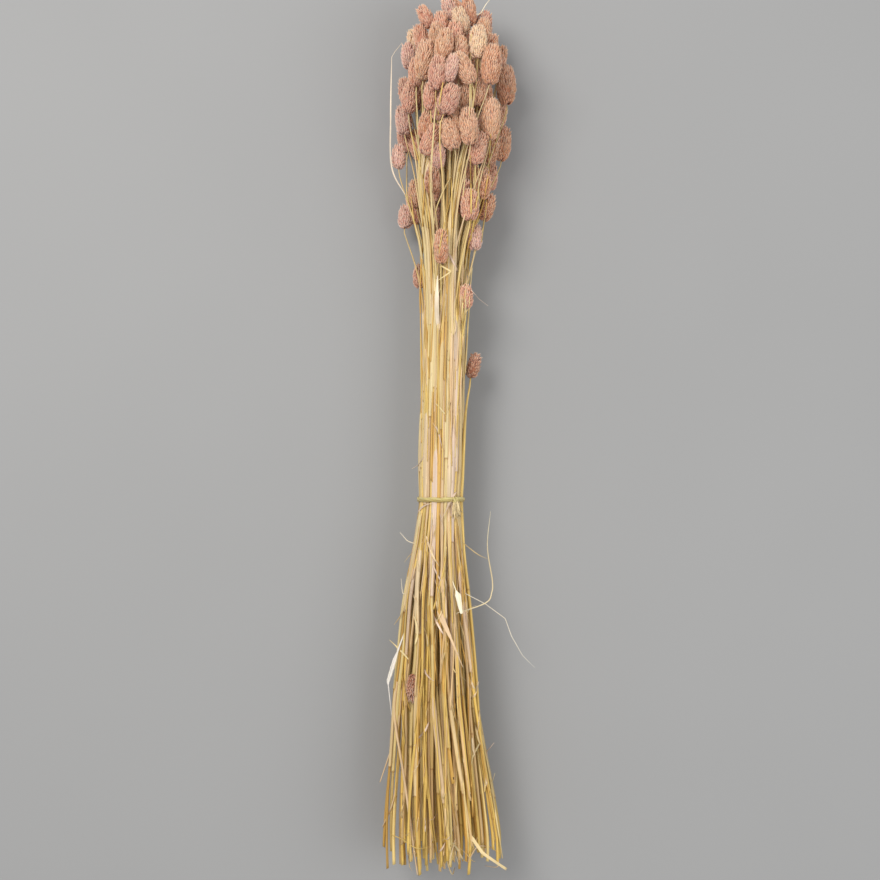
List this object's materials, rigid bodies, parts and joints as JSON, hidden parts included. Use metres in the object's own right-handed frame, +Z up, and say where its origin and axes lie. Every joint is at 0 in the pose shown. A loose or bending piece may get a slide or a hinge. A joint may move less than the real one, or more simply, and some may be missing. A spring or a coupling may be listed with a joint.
{
  "type": "bundle of dried canary grass",
  "caption": "Tied bundle of dried canary grass lying down: egg-shaped dusty pink seed heads on long golden straws, held at the waist by a twisted straw tie.",
  "frame": {"origin": "on the surface the bundle lies on, under the middle of its box", "axes": "+Y along the bundle from the cut ends to the seed heads, +Z up from the surface, +X to the right when seen from above with the heads at the top"},
  "size_m": [0.1228, 0.6944, 0.0894],
  "materials": {
    "straw": "dry straw, satin",
    "seed_head": "papery husks, matte",
    "twine": "twisted straw strand, matte"
  },
  "bodies": {
    "root": {"stalks": "straw", "tie": "twine", "heads_01": "seed_head", "heads_02": "seed_head", "heads_03": "seed_head", "heads_04": "seed_head", "heads_05": "seed_head", "heads_06": "seed_head", "heads_07": "seed_head", "heads_08": "seed_head", "heads_09": "seed_head", "heads_10": "seed_head", "heads_11": "seed_head", "heads_12": "seed_head", "heads_13": "seed_head", "heads_14": "seed_head", "heads_15": "seed_head", "heads_16": "seed_head", "heads_17": "seed_head", "heads_18": "seed_head", "heads_19": "seed_head", "heads_20": "seed_head", "heads_21": "seed_head", "heads_22": "seed_head", "heads_23": "seed_head", "heads_24": "seed_head", "heads_25": "seed_head", "heads_26": "seed_head", "heads_27": "seed_head", "heads_28": "seed_head", "heads_29": "seed_head", "heads_30": "seed_head", "heads_31": "seed_head", "heads_32": "seed_head", "heads_33": "seed_head", "heads_34": "seed_head", "heads_35": "seed_head", "heads_36": "seed_head", "heads_37": "seed_head", "heads_38": "seed_head", "heads_39": "seed_head", "heads_40": "seed_head", "heads_41": "seed_head", "heads_42": "seed_head", "heads_43": "seed_head", "heads_44": "seed_head", "heads_45": "seed_head", "heads_46": "seed_head", "heads_47": "seed_head", "heads_48": "seed_head", "heads_49": "seed_head", "heads_50": "seed_head", "heads_51": "seed_head", "heads_52": "seed_head", "heads_53": "seed_head", "heads_54": "seed_head", "heads_55": "seed_head", "heads_56": "seed_head", "heads_57": "seed_head", "heads_58": "seed_head"}
  },
  "joints": []
}
